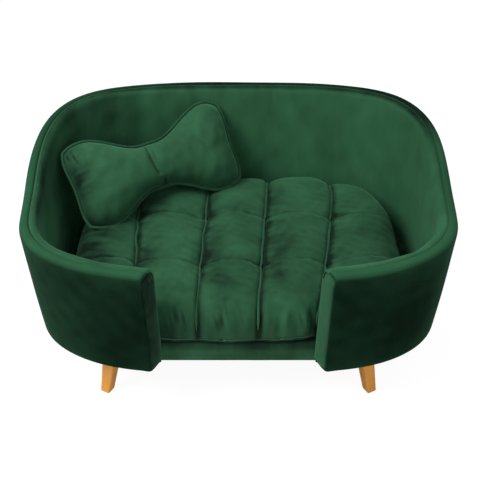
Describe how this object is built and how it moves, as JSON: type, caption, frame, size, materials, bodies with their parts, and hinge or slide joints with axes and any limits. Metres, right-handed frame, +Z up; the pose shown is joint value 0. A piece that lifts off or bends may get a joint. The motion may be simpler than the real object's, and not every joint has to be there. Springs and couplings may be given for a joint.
{
  "type": "dog sofa bed",
  "caption": "Upholstered oval wrap-around dog sofa on splayed wooden legs, with a low front entrance, a channelled lift-out cushion and a bone-shaped pillow.",
  "frame": {"origin": "on the floor, under the middle of the sofa's overall box", "axes": "+X to the right across the width as seen from the entrance, +Y to the high back, +Z up"},
  "size_m": [0.6992, 0.4704, 0.395],
  "materials": {
    "outer_velvet": "bottle-green velvet on the outside",
    "inner_velvet": "bottle-green velvet lining",
    "seat_velvet": "bottle-green velvet on the cushion and deck",
    "pillow_velvet": "bottle-green velvet on the pillow",
    "piping": "velvet-covered piping cord",
    "plywood": "raw birch plywood",
    "post_timber": "raw pine",
    "leg_wood": "honey-coloured satin varnish",
    "foam": "open-cell foam",
    "wadding": "white fibre wadding",
    "dust_cloth": "black non-woven cloth",
    "felt": "dark pressed felt",
    "zinc_steel": "zinc-plated steel"
  },
  "bodies": {
    "tub": {"base_panel": "plywood", "dust_cover": "dust_cloth", "front_rail": "post_timber", "rail_padding": "foam", "deck_foam": "foam", "deck_cover": "seat_velvet", "wall_core": "plywood", "left_arm_post": "post_timber", "right_arm_post": "post_timber", "outer_padding": "wadding", "inner_padding": "foam", "rim_padding": "foam", "arm_end_padding": "foam", "outer_cover": "outer_velvet", "inner_cover": "inner_velvet", "left_arm_facing": "outer_velvet", "right_arm_facing": "outer_velvet", "cover_staples": "zinc_steel", "tee_nuts": "zinc_steel", "hanger_bolts": "zinc_steel", "front_left_leg": "leg_wood", "front_right_leg": "leg_wood", "back_left_leg": "leg_wood", "back_right_leg": "leg_wood", "foot_pads": "felt"},
    "cushion": {"cushion_cover": "seat_velvet", "cushion_filling": "wadding", "cushion_piping": "piping"},
    "pillow": {"pillow_cover": "pillow_velvet", "pillow_filling": "wadding", "pillow_piping": "piping"}
  },
  "joints": [
    {"name": "cushion_lift", "type": "slide", "parent": "tub", "child": "cushion", "axis": [0, 0, 1], "range_m": [0, 0.32]},
    {"name": "pillow_lift", "type": "slide", "parent": "cushion", "child": "pillow", "axis": [0, 0, 1], "range_m": [0, 0.25]}
  ]
}
